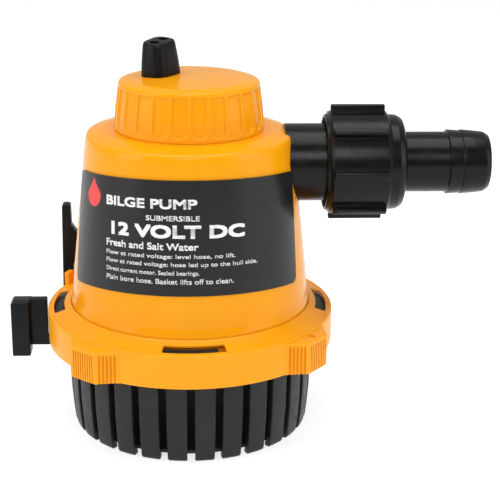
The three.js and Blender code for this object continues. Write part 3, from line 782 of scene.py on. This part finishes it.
def make_tail():
    low, high = node_box("hose_tail")
    start, end = low.x, high.x
    tail = turned("hose_barb", rounded([
        (7.5, start, 0.2), (12.4, start, 0.3), (12.4, start + 2.5, 0.3), (9.65, start + 2.5, 0.2),
        (9.65, 82.2, 0), (10.35, 82.5, 0.15), (10.05, 86.6, 0), (10.35, 86.9, 0.15), (10.05, 90.5, 2),
        (9.65, end - 1.6, 1.2), (8.7, end, 0.5), (7.5, end, 0.4),
    ]), 160)
    finish_piece(along_port(tail), "tail", pipe_black, ["hose_tail"])


def make_nut():
    low, high = node_box("union_nut")
    start, end = low.x, high.x
    nut = turned("nut_shell", rounded([
        (13.4, start + 2.4, 0.2), (14.3, start + 2.4, 0.2), (14.5, start, 0.3), (15.2, start, 0.3),
        (15.5, start + 0.9, 0.2), (15.9, start + 1.1, 0.2), (16.5, start + 1.9, 0.3), (16.5, 62.4, 0.5),
        (15.3, 63.2, 0.4), (15.1, 65.8, 1.2), (14.1, 67.6, 1.4), (12.2, end, 0.5), (9.95, end, 0.3),
        (9.95, 61, 0.2), (13.4, 61, 0.2),
    ]), 192)
    ribs = []
    for k in range(NUT_RIBS):
        rib = prism("rib", rounded([
            (15.4, -1.3, 0), (18.75, -1.05, 0.5), (18.75, 1.05, 0.5), (15.4, 1.3, 0),
        ]), 44.8, 62.0, 0.5)
        ribs.append(spun(rib, 360 / NUT_RIBS * k))
    fuse(nut, ribs)
    finish_piece(along_port(nut), "union_nut", pipe_black, ["union_nut"])


# ---- cap and grommet ----------------------------------------------------------------------

FLUTES = 24
FLUTE_DEPTH = 0.65
FLUTE_TOP = 112.2
FLUTE_HALF = 2.55                   # half the width of a flute, and the radius of its round foot
FLUTE_FOOT = 99.4
FLUTE_FLANK = 0.45
CAP_SKIRT = 21.2


def eased(t):
    """Smooth step from 0 to 1."""
    t = min(1.0, max(0.0, t))
    return t * t * (3 - 2 * t)


def densified(outline, step):
    """The outline with extra points so that no two are further apart than step."""
    points = []
    for i, here in enumerate(outline):
        there = outline[(i + 1) % len(outline)]
        count = max(1, math.ceil(math.dist(here, there) / step))
        for k in range(count):
            points.append(tuple(a + (b - a) * k / count for a, b in zip(here, there)))
    return points


def flute_depth(radius, z, angle):
    """How far the cap's side is cut back from its round outline at a point."""
    if radius < CAP_SKIRT + 0.6:
        return 0.0
    pitch = 2 * math.pi / FLUTES
    across = ((angle % pitch) - pitch / 2) * radius
    below = max(0.0, FLUTE_FOOT + FLUTE_HALF - z)
    inside = FLUTE_HALF - math.hypot(across, below)
    return FLUTE_DEPTH * eased(inside / FLUTE_FLANK) * eased((FLUTE_TOP - z) / 0.6)


def make_cap():
    high = node_box("motor_cap")[1]
    bottom, top = SHOULDER_TOP + 0.05, high.z
    outline = rounded([
        (CAP_SKIRT, bottom, 0.3), (23.8, bottom, 0.15), (23.2, 105, 0), (22.5, 110.4, 2),
        (22.2, 113.4, 1.3), (19, 114.3, 3), (8, top, 6), (0.01, top, 0), (0.01, 112, 0),
        (CAP_SKIRT, 112, 0.5),
    ], 10)
    outline = densified(outline, 0.45)
    steps = FLUTES * 22
    rings = []
    for radius, z in outline:
        ring = []
        for k in range(steps):
            angle = 2 * math.pi * k / steps
            cut_back = radius - flute_depth(radius, z, angle)
            ring.append((cut_back * sin(angle), -cut_back * cos(angle), z))
        rings.append(ring)
    cap = loft("fluted_cap", rings, wrap=True, sharp=40)
    finish_piece(cap, "motor_unit", yellow, ["motor_cap"])


GROMMET_LENGTH = 13.0
GROMMET_WIDTH = 9.5
GROMMET_CORNER = 4.2
GROMMET_TURN = -32
GROMMET_LEAN = -0.6                 # how far its top stands to the left of its foot
CROWN_SLOPE = 0.1                   # fall of its top towards the front
WIRE_HOLE_OFFSET = 2.5
WIRE_HOLE_RADIUS = 1.6


def make_grommet():
    low, high = node_box("cable_grommet")
    centre = (low + high) / 2
    foot = node_box("motor_cap")[1].z - 0.8
    height = high.z - foot
    x, y = GROMMET_WIDTH / 2, GROMMET_LENGTH / 2
    plan = rounded([(-x, -y, GROMMET_CORNER), (x, -y, GROMMET_CORNER), (x, y, GROMMET_CORNER),
                    (-x, y, GROMMET_CORNER)], 10)
    plan = densified(plan, 0.8)
    levels = [(0, 0.98), (0.04, 1.0), (0.18, 0.99), (0.4, 0.95), (0.65, 0.895), (0.88, 0.835),
              (0.95, 0.81), (0.98, 0.785), (0.995, 0.75), (1.0, 0.71)]
    turn = radians(GROMMET_TURN)
    turned_plan = []
    for px, py in plan:
        turned_plan.append((px * cos(turn) - py * sin(turn), px * sin(turn) + py * cos(turn)))
    back = max(py for px, py in turned_plan)
    rings = []
    for t, size in levels:
        fall = CROWN_SLOPE * t ** 3
        lean = GROMMET_LEAN * t
        ring = []
        for px, py in turned_plan:
            ring.append((px * size + lean, py * size, foot + height * t - fall * (back - py) * size))
        rings.append(ring)
    block = loft("grommet_block", rings, sharp=40)
    holes = []
    for end in (-1, 1):
        hole = turned("hole", rounded([
            (0, foot + 2, 0), (WIRE_HOLE_RADIUS, foot + 2, 0), (WIRE_HOLE_RADIUS, high.z + 1, 0),
            (0, high.z + 1, 0),
        ]), 32)
        holes.append(moved(spun(moved(hole, 0, end * WIRE_HOLE_OFFSET, 0), GROMMET_TURN),
                           GROMMET_LEAN, 0, 0))
    cut(block, holes)
    moved(block, centre.x, centre.y, 0)
    finish_piece(block, "motor_unit", rubber, ["cable_grommet"])


# ---- stage, lights and camera -------------------------------------------------------------

CAMERA_PLACE = (0, -420, 196)
CAMERA_PITCH = 18.28
CAMERA_YAW = 2.67
CAMERA_ROLL = 0.5
CAMERA_LENS = 97.4


def make_stage():
    half = 3.0                      # metres
    mesh = bpy.data.meshes.new("floor")
    mesh.from_pydata([(-half, -half, 0), (half, -half, 0), (half, half, 0), (-half, half, 0)], [],
                     [(0, 1, 2, 3)])
    floor = bpy.data.objects.new("floor", mesh)
    bpy.context.scene.collection.objects.link(floor)
    material, shader = new_material("floor_pale")
    shader.inputs["Base Color"].default_value = (0.45, 0.45, 0.45, 1)
    shader.inputs["Roughness"].default_value = 0.9
    shader.inputs["Emission Color"].default_value = (1, 1, 1, 1)
    shader.inputs["Emission Strength"].default_value = 0.74
    mesh.materials.append(material)


def area_light(name, place, target, size, power):
    """A rectangular lamp aimed at a target; places and sizes are in metres, power in watts."""
    lamp = bpy.data.lights.new(name, "AREA")
    lamp.shape = "RECTANGLE"
    lamp.size, lamp.size_y = size
    lamp.energy = power
    light = bpy.data.objects.new(name, lamp)
    light.location = place
    light.rotation_euler = (Vector(target) - Vector(place)).to_track_quat("-Z", "Y").to_euler()
    bpy.context.scene.collection.objects.link(light)


def make_world():
    """A bright backdrop behind the object that falls off towards the front."""
    world = bpy.data.worlds.new("studio")
    bpy.context.scene.world = world
    world.use_nodes = True
    tree = world.node_tree
    direction = tree.nodes.new("ShaderNodeTexCoord")
    split = tree.nodes.new("ShaderNodeSeparateXYZ")
    level = tree.nodes.new("ShaderNodeMapRange")
    level.interpolation_type = "SMOOTHSTEP"
    level.inputs["From Min"].default_value = -0.5
    level.inputs["From Max"].default_value = 0.6
    level.inputs["To Min"].default_value = 0.15
    level.inputs["To Max"].default_value = 0.5
    tree.links.new(direction.outputs["Generated"], split.inputs["Vector"])
    tree.links.new(split.outputs["Y"], level.inputs["Value"])
    tree.links.new(level.outputs["Result"], tree.nodes["Background"].inputs["Strength"])
    tree.nodes["Background"].inputs["Color"].default_value = (1, 1, 1, 1)


def make_lights():
    bpy.context.scene.view_settings.view_transform = "Standard"
    middle = (0.0, 0.0, 0.07)
    area_light("left_box", (-0.8, -0.35, 0.4), middle, (0.5, 0.7), 2.8)
    area_light("right_box", (0.8, -0.35, 0.4), middle, (0.5, 0.7), 2.4)
    area_light("top_box", (0.0, 0.0, 1.0), middle, (0.9, 0.7), 6.5)
    area_light("front_box", (0.0, -1.0, 0.75), middle, (0.6, 0.4), 3.95)


def make_camera():
    camera = bpy.data.objects.new("camera", bpy.data.cameras.new("camera"))
    camera.data.lens = CAMERA_LENS
    camera.data.clip_start = 0.01
    camera.location = Vector(CAMERA_PLACE) * MM
    aim = Matrix.Rotation(radians(-CAMERA_YAW), 4, "Z")
    aim @= Matrix.Rotation(radians(90 - CAMERA_PITCH), 4, "X")
    aim @= Matrix.Rotation(radians(CAMERA_ROLL), 4, "Z")
    camera.rotation_euler = aim.to_euler()
    bpy.context.scene.collection.objects.link(camera)
    bpy.context.scene.camera = camera


make_camera()
make_world()
make_lights()
make_stage()
make_strainer()
make_bracket()
make_lever()
make_lock_ring()
make_body()
make_label()
make_port()
make_tail()
make_nut()
make_cap()
make_grommet()
